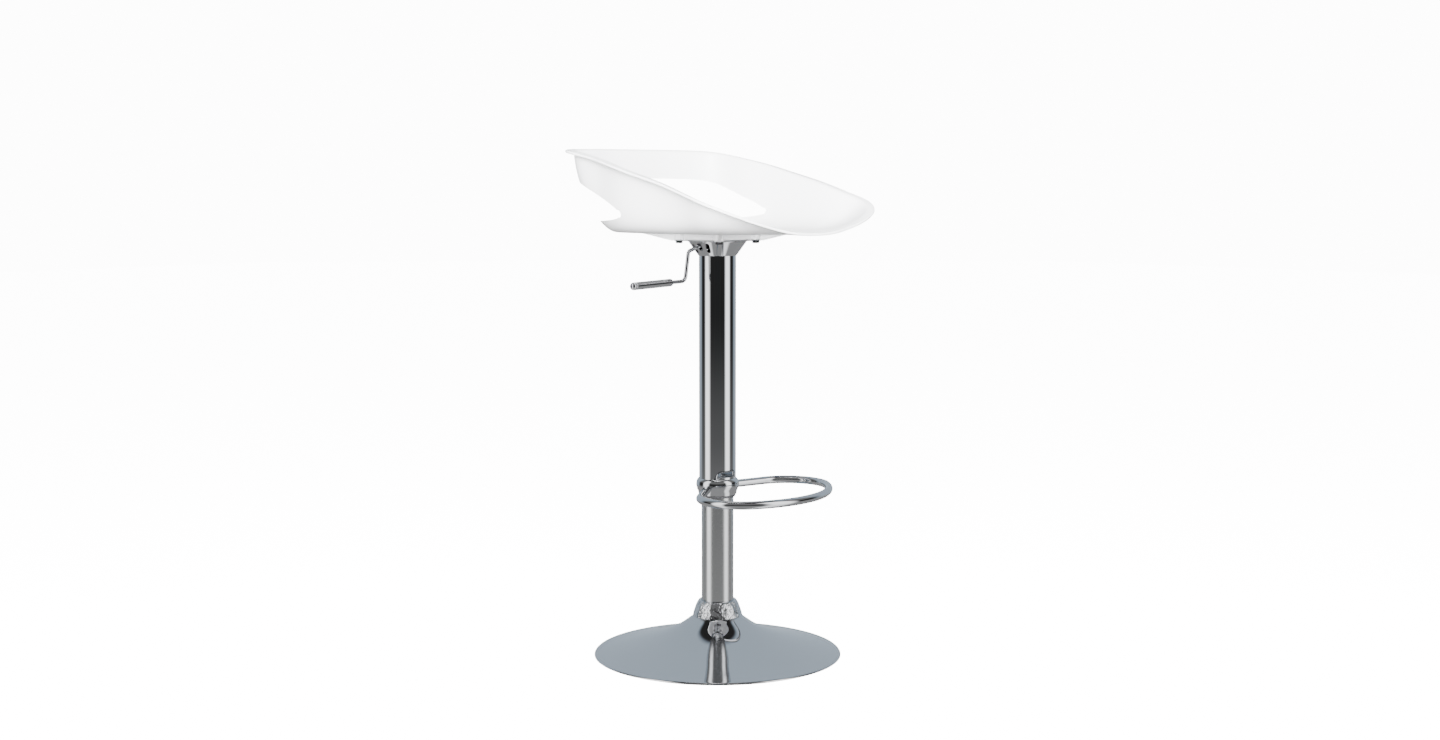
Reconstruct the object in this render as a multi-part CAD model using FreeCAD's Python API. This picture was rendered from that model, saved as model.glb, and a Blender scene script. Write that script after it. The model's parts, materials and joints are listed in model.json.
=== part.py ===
"""Adjustable swivel bar stool: moulded bucket seat, gas lift, telescoping column, footrest and trumpet base.

Millimetres, +Z up. The origin is on the column's axis at floor level. The seat faces -Y, so the height
lever, on the sitter's right, points to -X.
"""

import FreeCAD
import Part

import os
from math import cos, pi, radians, sin, tan

from FreeCAD import Vector

# ---- driving dimensions -------------------------------------------------------------------------
FIT = 0.05                  # radial clearance of a running fit
BASE_RADIUS = 192.5         # outside of the trumpet base
BASE_SHEET = 1.8            # thickness of the spun base
BASE_LIFT = 0.8             # the metal edge stays this far above the floor
HUB_TOP = 60.0
HUB_WALL = 3.5

COLUMN_RADIUS = 25.0        # fixed inner column
COLUMN_WALL = 1.5
COLUMN_BOTTOM, COLUMN_TOP = 6.0, 540.0
COLLAR_BOTTOM, COLLAR_TOP = 62.0, 86.0
HUB_BOTTOM = 1.2            # the sleeve and the base plate start this far above the floor
BASE_PLATE_RADIUS = 176.0
BASE_PLATE_SHEET = 2.0
RUBBER_OUTSIDE, RUBBER_HEIGHT = 188.8, 1.8

TUBE_RADIUS = 28.7          # moving outer tube
TUBE_WALL = 1.2
TUBE_BOTTOM, TUBE_TOP = 253.0, 633.0

RACE_SEAT = 28.0            # top of the plate that carries the thrust bearing
ROD_RADIUS = 5.0
ROD_BOTTOM, ROD_TOP = 15.0, 485.0
CYLINDER_RADIUS = 14.0
CYLINDER_BOTTOM, CYLINDER_TOP = 300.0, 632.0
TAPER_LENGTH = 36.0
TAPER_TOP_RADIUS = 12.9
RELEASE_PIN_RADIUS = 3.0

# The collar's outline above and below its ridge: radius, and height over the tube's lower end.
COLLAR_OVER_RIDGE = [(29.3, 25.4), (31.6, 22.6), (33.0, 18.6), (33.3, 14.6)]
COLLAR_UNDER_RIDGE = [(33.3, 14.0), (32.4, 10.6), (30.8, 6.0), (29.4, 0.0)]
FOOTREST_HEIGHT = 263.0     # plane of the footrest loop
FOOTREST_TUBE_RADIUS = 6.25
FOOTREST_WALL = 1.2
FOOTREST_REACH = 173.4      # column axis to the centreline at the front
FRONT_BEND, CORNER_BEND = 166.0, 62.5
FRONT_ANGLE = 40.9          # half of what the broad front bend turns through
ARM_ANGLE = 65.7            # of each footrest arm, from the loop's middle line
ARM_START = 20.0            # each arm's tube starts this far from the middle line, inside the collar
FOOTREST_TURN = 10.6        # the clamped footrest points this far to the sitter's left

PLATE_BOTTOM = 645.0        # underside of the steel seat plate
PLATE_THICKNESS = 2.0
PLATE_HALF = 50.0
BOLT_HALF_SPACING = 41.5
BOLT_RADIUS = 3.0
WASHER_BOTTOM = 644.0
HEAD_RADIUS, HEAD_HEIGHT = 5.5, 3.0
BELL_BOTTOM = 622.0
BELL_SHEET = 1.2

LEVER_ROD_RADIUS = 3.0
LEVER_PIVOT = Vector(-30.0, 0.0, 638.8)
LEVER_INNER_END = 1.5
LEVER_CORNERS = [(-36.0, 638.8), (-64.5, 630.5), (-72.0, 585.9)]
LEVER_BENDS = [14.0, 7.0, 9.0]
GRIP_RADIUS = 5.9
GRIP_BORE = 3.1
GRIP_START, GRIP_END, CAP_LENGTH = -103.0, -185.5, 7.0
GRIP_SLOPE = 0.03           # the grip falls this much per millimetre outward
ROD_OUTER_END = -174.0
PIVOT_PIN_RADIUS = 1.5

SEAT_FLOOR = 658.0          # underside of the seat's pan
SEAT_WALL = 4.0
LIP_REACH = 10.0            # flat part of the rolled lip
LIP_BEND = 3.0              # its inside bend
EDGE_ROUND = 1.2
BOSS_HALF = 37.5            # square boss that sits on the seat plate
BOSS_SINK = 1.5             # the boss and ribs run this far up into the pan
INSERT_RADIUS, INSERT_LENGTH = 4.5, 9.0
RIB_THICKNESS = 5.0
BOLT_PAD_RADIUS = 7.5

# The seat's plan and section at each angle from straight ahead: rim radius, rim height, wall slope
# just under the lip (degrees), radius of the flat floor, and radius where floor and wall would meet.
SEAT_STATIONS = [
    (0, 199.0, 660.5, 4, 147, 165),
    (12, 202.0, 662.2, 5, 147, 167),
    (22, 209.5, 667.8, 9, 145, 170),
    (31, 223.0, 676.0, 16, 145, 178),
    (38, 233.5, 684.4, 26, 145, 186),
    (45, 241.0, 694.7, 38, 141, 194),
    (51, 239.0, 704.0, 48, 135, 198),
    (58, 222.5, 714.9, 58, 125, 190),
    (72, 197.5, 732.8, 73, 122, 176),
    (90, 187.5, 748.2, 82, 121, 175),
    (108, 192.0, 763.2, 85, 131, 181),
    (124, 209.5, 775.2, 86, 146, 181),
    (134, 230.5, 782.3, 86, 153, 177),
    (146, 220.5, 784.9, 85, 146, 173),
    (162, 203.0, 785.5, 84, 134, 162),
    (180, 195.5, 785.5, 84, 127, 155),
]
SEAT_SECTIONS = 48
WALL_STEPS = 8
# Side view of the opening behind the pan: distance ahead of the axis, and height.
OPENING_TOP = [(-50.5, 693.2), (-64, 700.6), (-80, 707.4), (-105, 717.6), (-122, 724.4), (-140, 731.3),
               (-162, 737.8), (-200, 740.8), (-254, 741.5)]
OPENING_BOTTOM = [(-50.5, 682.2), (-62, 679.4), (-80, 677.6), (-112, 675.8), (-140, 674.8), (-176, 674.0),
                  (-254, 673.0)]
OPENING_TIP = (-43.0, 688.3)

UP = Vector(0, 0, 1)
ORIGIN = Vector(0, 0, 0)

parts = {}


# ---- helpers --------------------------------------------------------------------------------------
def point(x=0.0, z=0.0):
    return Vector(x, 0, z)


def revolve(outline):
    """Solid of revolution about Z. outline is a closed list of (radius, height) corners."""
    corners = [point(*p) for p in outline]
    face = Part.Face(Part.makePolygon(corners + corners[:1]))
    return face.revolve(ORIGIN, UP, 360)


def revolve_edges(edges):
    """Solid of revolution about Z from edges that close in the XZ plane."""
    wire = Part.Wire(Part.__sortEdges__(edges))
    return Part.Face(wire).revolve(ORIGIN, UP, 360)


def ring(inner, outer, bottom, top, chamfer=0.0):
    """Plain ring or tube, with its outer corners broken by chamfer."""
    c = chamfer
    outline = [(inner, bottom), (outer - c, bottom), (outer, bottom + c), (outer, top - c),
               (outer - c, top), (inner, top)]
    if c == 0:
        outline = [outline[0], outline[1], outline[4], outline[5]]
    return revolve(outline)


def spline(points):
    curve = Part.BSplineCurve()
    curve.interpolate(points)
    return curve.toShape()


def line(a, b):
    return Part.LineSegment(a, b).toShape()


def cylinder(radius, start, end):
    return Part.makeCylinder(radius, (end - start).Length, start, end - start)


def around_axis(shape, count, first_angle=0.0):
    """Copies of shape spaced evenly about the column's axis."""
    copies = []
    for i in range(count):
        copy = shape.copy()
        copy.rotate(ORIGIN, UP, first_angle + 360.0 * i / count)
        copies.append(copy)
    return copies


def at_bolts(make):
    """One copy of what make() returns at each of the four seat bolts."""
    places = [(sx * BOLT_HALF_SPACING, sy * BOLT_HALF_SPACING) for sx in (-1, 1) for sy in (-1, 1)]
    copies = []
    for x, y in places:
        shape = make()
        shape.translate(Vector(x, y, 0))
        copies.append(shape)
    return Part.Compound(copies)


def hexagon(across_flats, bottom, height):
    radius = across_flats / 2 / cos(pi / 6)
    corners = [Vector(radius * cos(i * pi / 3), radius * sin(i * pi / 3), bottom) for i in range(7)]
    return Part.Face(Part.makePolygon(corners)).extrude(Vector(0, 0, height))


# ---- base ---------------------------------------------------------------------------------------
TRUMPET = [(34.0, 66.0), (37.5, 61.5), (46.0, 54.6), (57.0, 46.6), (72.0, 38.2), (100.0, 27.0),
           (130.0, 17.8), (160.0, 9.8), (180.0, 5.6), (BASE_RADIUS - 3.0, 4.0)]


def base_shell():
    """Spun trumpet with a small turned-down edge."""
    outer = [point(*p) for p in TRUMPET]
    inner = []
    for i, (r, z) in enumerate(TRUMPET):
        before = point(*TRUMPET[max(i - 1, 0)])
        after = TRUMPET[min(i + 1, len(TRUMPET) - 1)]
        along = (point(*after) - before).normalize()
        inner.append(point(r, z) + Vector(along.z, 0, -along.x) * BASE_SHEET)
    edge_out = point(BASE_RADIUS, BASE_LIFT)
    edge_mid = point(BASE_RADIUS - 0.6, BASE_LIFT + 2.0)
    edge_in = point(BASE_RADIUS - BASE_SHEET, BASE_LIFT)
    edges = [spline(outer), Part.Arc(outer[-1], edge_mid, edge_out).toShape(), line(edge_out, edge_in),
             line(edge_in, inner[-1]), spline(inner), line(inner[0], outer[0])]
    return revolve_edges(edges)


HUB_RADIUS = COLUMN_RADIUS + HUB_WALL


def base_plate():
    """Flat ballast plate that closes the base from below, thicker over its middle band."""
    low, thin = HUB_BOTTOM, HUB_BOTTOM + BASE_PLATE_SHEET
    thick = thin + BASE_PLATE_SHEET
    return revolve([(HUB_RADIUS, low), (BASE_PLATE_RADIUS, low), (BASE_PLATE_RADIUS, thin), (150.0, thin),
                    (140.0, thick), (60.0, thick), (50.0, thin), (HUB_RADIUS, thin)])


parts["base_shell"] = base_shell()
parts["base_plate"] = base_plate()
parts["floor_ring"] = ring(BASE_PLATE_RADIUS + 0.3, RUBBER_OUTSIDE, 0.0, RUBBER_HEIGHT, 0.4)
parts["hub_sleeve"] = ring(COLUMN_RADIUS, HUB_RADIUS, HUB_BOTTOM, HUB_TOP, 0.5)


def base_collar():
    """Smooth bulging trim ring where the column leaves the base."""
    outside = [point(38.6, COLLAR_BOTTOM), point(37.6, 66.5), point(35.2, 73.5), point(33.0, 79.5),
               point(29.2, COLLAR_TOP)]
    corners = [outside[-1], point(COLUMN_RADIUS, COLLAR_TOP), point(COLUMN_RADIUS, 67.0), point(34.0, 67.0),
               point(37.8, COLLAR_BOTTOM), outside[0]]
    return revolve_edges([spline(outside)] + [line(a, b) for a, b in zip(corners, corners[1:])])


parts["base_collar"] = base_collar()

# ---- fixed column ---------------------------------------------------------------------------------
BORE = COLUMN_RADIUS - COLUMN_WALL
parts["inner_column"] = ring(BORE, COLUMN_RADIUS, COLUMN_BOTTOM, COLUMN_TOP, 0.3)
parts["column_bottom_plate"] = ring(ROD_RADIUS + 1.0, BORE, RACE_SEAT - 5.0, RACE_SEAT)
parts["column_guide_bush"] = revolve([
    (CYLINDER_RADIUS + FIT, 480.0), (BORE, 480.0), (BORE, COLUMN_TOP), (COLUMN_RADIUS - 0.3, COLUMN_TOP),
    (COLUMN_RADIUS - 0.3, COLUMN_TOP + 2.5), (CYLINDER_RADIUS + FIT, COLUMN_TOP + 2.5)])

# ---- thrust bearing and rod ----------------------------------------------------------------------
BALL_RADIUS, BALL_CIRCLE, BALL_COUNT = 2.0, 10.0, 10
RACE = 2.0
BALL_PLANE = RACE_SEAT + RACE + BALL_RADIUS + FIT
UPPER_RACE = BALL_PLANE + BALL_RADIUS + FIT

parts["lower_race"] = ring(ROD_RADIUS + 1.0, 14.0, RACE_SEAT, RACE_SEAT + RACE, 0.3)
parts["upper_race"] = ring(ROD_RADIUS, 14.0, UPPER_RACE, UPPER_RACE + RACE, 0.3)
ball = Part.makeSphere(BALL_RADIUS, Vector(BALL_CIRCLE, 0, BALL_PLANE))
parts["thrust_balls"] = Part.Compound(around_axis(ball, BALL_COUNT))
pocket = Part.makeCylinder(BALL_RADIUS + FIT, 4.0, Vector(BALL_CIRCLE, 0, BALL_PLANE - 2.0))
cage = ring(BALL_CIRCLE - 3.0, BALL_CIRCLE + 3.0, BALL_PLANE - 0.9, BALL_PLANE + 0.9)
parts["ball_cage"] = cage.cut(Part.Compound(around_axis(pocket, BALL_COUNT)))

SHOULDER = UPPER_RACE + RACE
GROOVE = 20.0
parts["gas_piston_rod"] = revolve([
    (0, ROD_BOTTOM), (ROD_RADIUS - 1.0, ROD_BOTTOM), (ROD_RADIUS, ROD_BOTTOM + 1.0), (ROD_RADIUS, GROOVE),
    (ROD_RADIUS - 1.0, GROOVE), (ROD_RADIUS - 1.0, GROOVE + 1.5), (ROD_RADIUS, GROOVE + 1.5),
    (ROD_RADIUS, ROD_TOP), (0, ROD_TOP)])
parts["rod_shoulder"] = ring(ROD_RADIUS, 8.5, SHOULDER, SHOULDER + 4.0, 0.5)
parts["rod_bumper"] = ring(ROD_RADIUS, 9.5, SHOULDER + 4.0, SHOULDER + 18.0, 1.5)
clip = ring(ROD_RADIUS - 1.0, 8.5, GROOVE, GROOVE + 1.5)
parts["retaining_clip"] = clip.cut(Part.makeBox(10.0, 5.0, 4.0, Vector(0, -2.5, GROOVE - 1.0)))
parts["rod_washer"] = ring(ROD_RADIUS, 10.0, GROOVE + 1.5, RACE_SEAT - 5.0 - FIT, 0.2)
parts["gas_piston"] = revolve([
    (0, ROD_TOP), (10.9, ROD_TOP), (10.9, ROD_TOP + 4.0), (9.6, ROD_TOP + 4.0), (9.6, ROD_TOP + 7.0),
    (10.9, ROD_TOP + 7.0), (10.9, ROD_TOP + 11.0), (0, ROD_TOP + 11.0)])
parts["piston_seal"] = ring(9.6, 10.95, ROD_TOP + 4.0, ROD_TOP + 7.0, 0.3)


def gas_cylinder():
    """Pressure tube with a rod guide at the bottom and a tapered head that holds the release pin."""
    bore, guide = 11.0, 12.0
    head = CYLINDER_TOP - TAPER_LENGTH
    return revolve([
        (ROD_RADIUS + FIT, CYLINDER_BOTTOM), (CYLINDER_RADIUS - 1.5, CYLINDER_BOTTOM),
        (CYLINDER_RADIUS, CYLINDER_BOTTOM + 1.5), (CYLINDER_RADIUS, head), (TAPER_TOP_RADIUS, CYLINDER_TOP),
        (RELEASE_PIN_RADIUS + FIT, CYLINDER_TOP), (RELEASE_PIN_RADIUS + FIT, head - 8.0), (bore, head - 8.0),
        (bore, CYLINDER_BOTTOM + guide), (ROD_RADIUS + FIT, CYLINDER_BOTTOM + guide)])


parts["gas_cylinder"] = gas_cylinder()
PIN_TOP = LEVER_PIVOT.z - LEVER_ROD_RADIUS - FIT
parts["release_pin"] = ring(0, RELEASE_PIN_RADIUS, CYLINDER_TOP - TAPER_LENGTH - 4.0, PIN_TOP, 0.4)

# ---- moving tube, bush, collar and footrest --------------------------------------------------------
TUBE_BORE = TUBE_RADIUS - TUBE_WALL
FLANGE_BOTTOM = TUBE_BOTTOM - 4.0
parts["outer_tube"] = ring(TUBE_BORE, TUBE_RADIUS, TUBE_BOTTOM, TUBE_TOP)
parts["slide_bush"] = revolve([
    (COLUMN_RADIUS + FIT, FLANGE_BOTTOM), (27.0, FLANGE_BOTTOM), (27.8, FLANGE_BOTTOM + 0.8),
    (27.8, TUBE_BOTTOM), (TUBE_BORE, TUBE_BOTTOM), (TUBE_BORE, 330.0), (COLUMN_RADIUS + FIT, 330.0)])


def footrest_collar():
    """Bulging ring with a ridge round its middle."""
    upper, lower = [[point(r, TUBE_BOTTOM + rise) for r, rise in outline]
                    for outline in (COLLAR_OVER_RIDGE, COLLAR_UNDER_RIDGE)]
    corners = [lower[-1], point(TUBE_RADIUS, TUBE_BOTTOM), point(TUBE_RADIUS, upper[0].z), upper[0]]
    return revolve_edges([spline(upper), line(upper[-1], lower[0]), spline(lower)]
                         + [line(a, b) for a, b in zip(corners, corners[1:])])


def footrest_centreline():
    """Arm, corner, broad front, corner and arm. Returns the wire and its first point and direction."""
    z = FOOTREST_HEIGHT

    def place(ahead, left):
        return Vector(left, -ahead, z)

    arm = radians(ARM_ANGLE)
    front_centre = FOOTREST_REACH - FRONT_BEND
    offset = FRONT_BEND - CORNER_BEND
    turn = radians(FRONT_ANGLE)
    corner = (front_centre + offset * cos(turn), offset * sin(turn))
    joint = (front_centre + FRONT_BEND * cos(turn), FRONT_BEND * sin(turn))
    middle_angle = (turn + pi / 2 + arm) / 2
    middle = (corner[0] + CORNER_BEND * cos(middle_angle), corner[1] + CORNER_BEND * sin(middle_angle))
    tangent = (corner[0] - CORNER_BEND * sin(arm), corner[1] + CORNER_BEND * cos(arm))
    length = (tangent[1] - ARM_START) / sin(arm)
    start = (tangent[0] - length * cos(arm), ARM_START)
    edges = [line(place(*start), place(*tangent)),
             Part.Arc(place(*tangent), place(*middle), place(*joint)).toShape(),
             Part.Arc(place(*joint), place(FOOTREST_REACH, 0), place(joint[0], -joint[1])).toShape(),
             Part.Arc(place(joint[0], -joint[1]), place(middle[0], -middle[1]),
                      place(tangent[0], -tangent[1])).toShape(),
             line(place(tangent[0], -tangent[1]), place(start[0], -start[1]))]
    return Part.Wire(edges), place(*start), place(*tangent) - place(*start)


def footrest_ring():
    path, start, direction = footrest_centreline()
    outer, inner = [
        path.makePipeShell([Part.Wire(Part.makeCircle(r, start, direction))], True, False)
        for r in (FOOTREST_TUBE_RADIUS, FOOTREST_TUBE_RADIUS - FOOTREST_WALL)]
    loop = outer.cut(inner)
    loop.rotate(ORIGIN, UP, FOOTREST_TURN)
    return loop


parts["footrest_collar"] = footrest_collar()
parts["footrest_ring"] = footrest_ring().cut(parts["footrest_collar"].fuse(
    Part.makeCylinder(TUBE_RADIUS + 1.0, 60.0, Vector(0, 0, FOOTREST_HEIGHT - 25.0))))

SCREW_ANGLE, SCREW_RADIUS, SCREW_HEIGHT = 24.0, 2.0, TUBE_BOTTOM + 8.0
screws, screw_holes = [], []
for side in (-1, 1):
    screw_angle = radians(side * SCREW_ANGLE - FOOTREST_TURN)
    direction = Vector(sin(screw_angle), cos(screw_angle), 0)
    seat = direction * TUBE_RADIUS + Vector(0, 0, SCREW_HEIGHT)
    screw = Part.makeCylinder(SCREW_RADIUS, 3.4, seat, direction)
    socket = Part.makeCylinder(SCREW_RADIUS / 2, 2.0, seat + direction * 1.8, direction)
    screws.append(screw.cut(socket))
    screw_holes.append(Part.makeCylinder(SCREW_RADIUS, 12.0, seat - direction * 4.0, direction))
parts["footrest_screws"] = Part.Compound(screws)
parts["footrest_collar"] = parts["footrest_collar"].cut(Part.Compound(screw_holes))

# ---- seat plate, socket, bell and lever --------------------------------------------------------------
PLATE_TOP = PLATE_BOTTOM + PLATE_THICKNESS


def seat_plate():
    plate = Part.makeBox(2 * PLATE_HALF, 2 * PLATE_HALF, PLATE_THICKNESS,
                         Vector(-PLATE_HALF, -PLATE_HALF, PLATE_BOTTOM))
    corners = [e for e in plate.Edges if abs(e.BoundBox.ZLength - PLATE_THICKNESS) < 1e-6]
    plate = plate.makeFillet(10.0, corners)
    hole = at_bolts(lambda: Part.makeCylinder(BOLT_RADIUS + 0.3, 10.0, Vector(0, 0, PLATE_BOTTOM - 4)))
    return plate.cut(hole)


SOCKET_RADIUS = 18.5
parts["seat_plate"] = seat_plate()
SOCKET_BOTTOM = CYLINDER_TOP - TAPER_LENGTH
socket = revolve([
    (CYLINDER_RADIUS, SOCKET_BOTTOM), (SOCKET_RADIUS - 1, SOCKET_BOTTOM), (SOCKET_RADIUS, SOCKET_BOTTOM + 1),
    (SOCKET_RADIUS, PLATE_BOTTOM), (TAPER_TOP_RADIUS, PLATE_BOTTOM), (TAPER_TOP_RADIUS, CYLINDER_TOP)])
lever_window = Part.makeBox(40.0, 9.0, 13.0, Vector(-32.0, -4.5, PLATE_BOTTOM - 13.0))
parts["cone_socket"] = socket.cut(lever_window)
parts["tube_top_ring"] = ring(SOCKET_RADIUS, TUBE_BORE, 604.0, 616.0, 0.5)


def bell_cover():
    """Funnel under the seat plate, with the lever's opening and a vent slot on each side of it."""
    outside = [(TUBE_RADIUS + 0.2, BELL_BOTTOM), (TUBE_RADIUS + 1.0, BELL_BOTTOM + 1.0),
               (44.8, PLATE_BOTTOM - 1.2), (45.5, PLATE_BOTTOM)]
    inside = [(45.5 - BELL_SHEET, PLATE_BOTTOM), (44.8 - BELL_SHEET, PLATE_BOTTOM - 1.2),
              (TUBE_RADIUS + 0.2, BELL_BOTTOM + 1.8)]
    bell = revolve(outside + inside)
    opening = rounded_slot(8.4, 11.4, 636.1)
    vents = []
    for angle in (-21.0, 21.0):
        vent = rounded_slot(6.2, 15.0, 634.3)
        vent.rotate(ORIGIN, UP, angle)
        vents.append(vent)
    return bell.cut(Part.Compound([opening] + vents))


def rounded_slot(width, height, centre):
    """Radial cutter through the -X side of the bell, with round ends."""
    half, reach = width / 2, height / 2 - width / 2
    body = Part.makeBox(36.0, width, 2 * reach, Vector(-62.0, -half, centre - reach))
    ends = [Part.makeCylinder(half, 36.0, Vector(-62.0, 0, centre + s * reach), Vector(1, 0, 0))
            for s in (-1, 1)]
    return body.fuse(ends)


parts["bell_cover"] = bell_cover()


def across_pivot(radius, length):
    """Cylinder along the lever's pivot axis."""
    return Part.makeCylinder(radius, length, LEVER_PIVOT - Vector(0, length / 2, 0), Vector(0, 1, 0))


def lever_bracket():
    """Two ears welded under the seat plate that carry the lever's pivot pin."""
    ears = []
    for y in (-6.0, 4.0):
        ear = Part.makeBox(12.0, 2.0, PLATE_BOTTOM - 634.5, Vector(LEVER_PIVOT.x - 6, y, 634.5))
        ears.append(ear)
    bridge = Part.makeBox(12.0, 8.0, 1.5, Vector(LEVER_PIVOT.x - 6, -4.0, PLATE_BOTTOM - 1.5))
    bracket = ears[0].fuse([ears[1], bridge])
    return bracket.cut(across_pivot(PIVOT_PIN_RADIUS, 20.0))


parts["lever_bracket"] = lever_bracket()
parts["lever_pivot_pin"] = across_pivot(PIVOT_PIN_RADIUS, 15.0)


def bent_path(points, bends):
    """Straight runs joined by tangent arcs; points has one more point at each end than bends."""
    edges, last = [], points[0]
    for i, radius in enumerate(bends):
        before, corner, after = points[i], points[i + 1], points[i + 2]
        d1, d2 = (before - corner).normalize(), (after - corner).normalize()
        half = d1.getAngle(d2) / 2
        reach = radius / tan(half)
        a, b = corner + d1 * reach, corner + d2 * reach
        bisector = (d1 + d2).normalize()
        middle = corner + bisector * (radius / sin(half) - radius)
        edges += [line(last, a), Part.Arc(a, middle, b).toShape()]
        last = b
    edges.append(line(last, points[-1]))
    return Part.Wire(edges)


def along_grip(x):
    """Point on the grip's axis, which starts at the rod's last corner."""
    corner_x, corner_z = LEVER_CORNERS[-1]
    return point(x, corner_z + GRIP_SLOPE * (x - corner_x))


def lever_rod():
    """Bent rod: over the release pin, through the pivot, out of the bell, down and into the grip."""
    points = [point(LEVER_INNER_END, LEVER_PIVOT.z)] + [point(*p) for p in LEVER_CORNERS]
    path = bent_path(points + [along_grip(ROD_OUTER_END)], LEVER_BENDS)
    profile = Part.Wire(Part.makeCircle(LEVER_ROD_RADIUS, points[0], Vector(-1, 0, 0)))
    rod = path.makePipeShell([profile], True, False)
    return rod.cut(across_pivot(PIVOT_PIN_RADIUS + FIT, 12.0))


def lever_grip():
    start, end = along_grip(GRIP_START), along_grip(GRIP_END + CAP_LENGTH)
    grip = cylinder(GRIP_RADIUS, start, end)
    grip = grip.makeFillet(1.2, [e for e in grip.Edges if abs(e.Length - 2 * pi * GRIP_RADIUS) < 1e-3][:1])
    return grip.cut(cylinder(GRIP_BORE, start + (start - end) * 0.1, along_grip(ROD_OUTER_END)))


def grip_cap():
    start, end = along_grip(GRIP_END + CAP_LENGTH), along_grip(GRIP_END)
    cap = cylinder(GRIP_RADIUS, start, end)
    far = [e for e in cap.Edges if e.BoundBox.XMax < GRIP_END + 1.0 and e.BoundBox.ZLength > GRIP_RADIUS]
    return cap.makeFillet(4.5, far)


parts["lever_rod"] = lever_rod()
parts["lever_grip"] = lever_grip()
parts["grip_cap"] = grip_cap()

# ---- seat ----------------------------------------------------------------------------------------------
BOSS_BOTTOM = PLATE_TOP


def station_curves():
    """The station table as two smooth curves over the angle, mirrored past both ends."""
    table = [(-row[0],) + row[1:] for row in reversed(SEAT_STATIONS[1:5])] + SEAT_STATIONS
    table += [(360 - row[0],) + row[1:] for row in reversed(SEAT_STATIONS[-5:-1])]
    angles = [float(row[0]) for row in table]
    curves = []
    for values in ([Vector(*row[1:4]) for row in table], [Vector(row[4], row[5], 0) for row in table]):
        curve = Part.BSplineCurve()
        curve.interpolate(Points=values, Parameters=angles)
        curves.append(curve)
    return curves


def seat_section(curves, angle):
    """Underside of the seat at one angle: (radius, height) for the wall, then the lip's bend and reach."""
    folded = angle if angle <= 180 else 360 - angle
    rim = curves[0].value(folded)
    pan = curves[1].value(folded)
    slope = radians(rim.z)
    lip_under = rim.y - SEAT_WALL
    centre = (rim.x - LIP_REACH, lip_under - LIP_BEND)
    top = (centre[0] - LIP_BEND * sin(slope), centre[1] + LIP_BEND * cos(slope))
    pull_wall = 0.5 * (top[1] - SEAT_FLOOR) / max(sin(slope), 0.35)
    control = [(pan.x, SEAT_FLOOR), (pan.y, SEAT_FLOOR),
               (top[0] - pull_wall * cos(slope), top[1] - pull_wall * sin(slope)), top]
    wall = []
    for k in range(WALL_STEPS + 1):
        t = k / WALL_STEPS
        w = ((1 - t) ** 3, 3 * t * (1 - t) ** 2, 3 * t * t * (1 - t), t ** 3)
        wall.append(tuple(sum(w[j] * control[j][c] for j in range(4)) for c in (0, 1)))
    bend = []
    for k in range(1, 4):
        a = slope * (1 - k / 3.0)
        bend.append((centre[0] - LIP_BEND * sin(a), centre[1] + LIP_BEND * cos(a)))
    return wall, bend, (rim.x, lip_under)


def closed_curve(points):
    curve = Part.BSplineCurve()
    curve.interpolate(points, True)
    return Part.Wire(curve.toShape())


def seat_rows():
    """Underside and top side of the seat as matching rings of points, from the floor out to the lip."""
    curves = station_curves()
    under = []
    for i in range(SEAT_SECTIONS):
        angle = 360.0 * i / SEAT_SECTIONS
        wall, bend, lip = seat_section(curves, angle)
        for k, (r, z) in enumerate(wall + bend + [lip]):
            if len(under) <= k:
                under.append([])
            under[k].append(Vector(r * sin(radians(angle)), -r * cos(radians(angle)), z))
    last = len(under) - 1
    top = []
    for k in range(last + 1):
        ring_points = []
        for i in range(SEAT_SECTIONS):
            round_way = under[k][(i + 1) % SEAT_SECTIONS] - under[k][i - 1]
            outward = under[min(k + 1, last)][i] - under[max(k - 1, 0)][i]
            normal = outward.cross(round_way).normalize()
            if k in (0, last):
                normal = Vector(UP)
            ring_points.append(under[k][i] + normal * SEAT_WALL)
        top.append(ring_points)
    return under, top


def rounded_edge(under, top):
    """Rings that carry the lip's edge round from its underside to its top."""
    under_in, top_in = under[-2], top[-2]
    rings = []
    for step in range(5):
        a = step * pi / 4
        ring_points = []
        for i in range(SEAT_SECTIONS):
            inward = (under_in[i] - under[-1][i]).normalize()
            low = under[-1][i] + inward * EDGE_ROUND
            high = top[-1][i] + (top_in[i] - top[-1][i]).normalize() * EDGE_ROUND
            middle, half = (low + high) * 0.5, (high - low) * 0.5
            ring_points.append(middle - inward * (EDGE_ROUND * 1.3 * sin(a)) - half * cos(a))
        rings.append(ring_points)
    return rings


def seat_bowl():
    """Rolled-lip bowl as one closed solid, before the opening is cut."""
    under, top = seat_rows()
    edge = rounded_edge(under, top)
    wall_rings = WALL_STEPS + 1
    under_wires = [closed_curve(r) for r in under[:-1]] + [closed_curve(edge[0])]
    top_wires = [closed_curve(r) for r in top[:-1]] + [closed_curve(edge[-1])]
    edge_wires = [under_wires[-1]] + [closed_curve(r) for r in edge[1:-1]] + [top_wires[-1]]
    faces = []
    for wires in (under_wires, top_wires):
        faces += Part.makeLoft(wires[:wall_rings], False, False).Faces
        faces += Part.makeLoft(wires[wall_rings - 1:-1], False, False).Faces
        faces += Part.makeLoft(wires[-2:], False, True).Faces
        faces.append(Part.Face(wires[0]))
    faces += Part.makeLoft(edge_wires, False, False).Faces
    shell = Part.Compound(faces)
    shell.sewShape()
    solid = Part.Solid(shell.Shells[0])
    if solid.Volume < 0:
        solid.reverse()
    return solid


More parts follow.
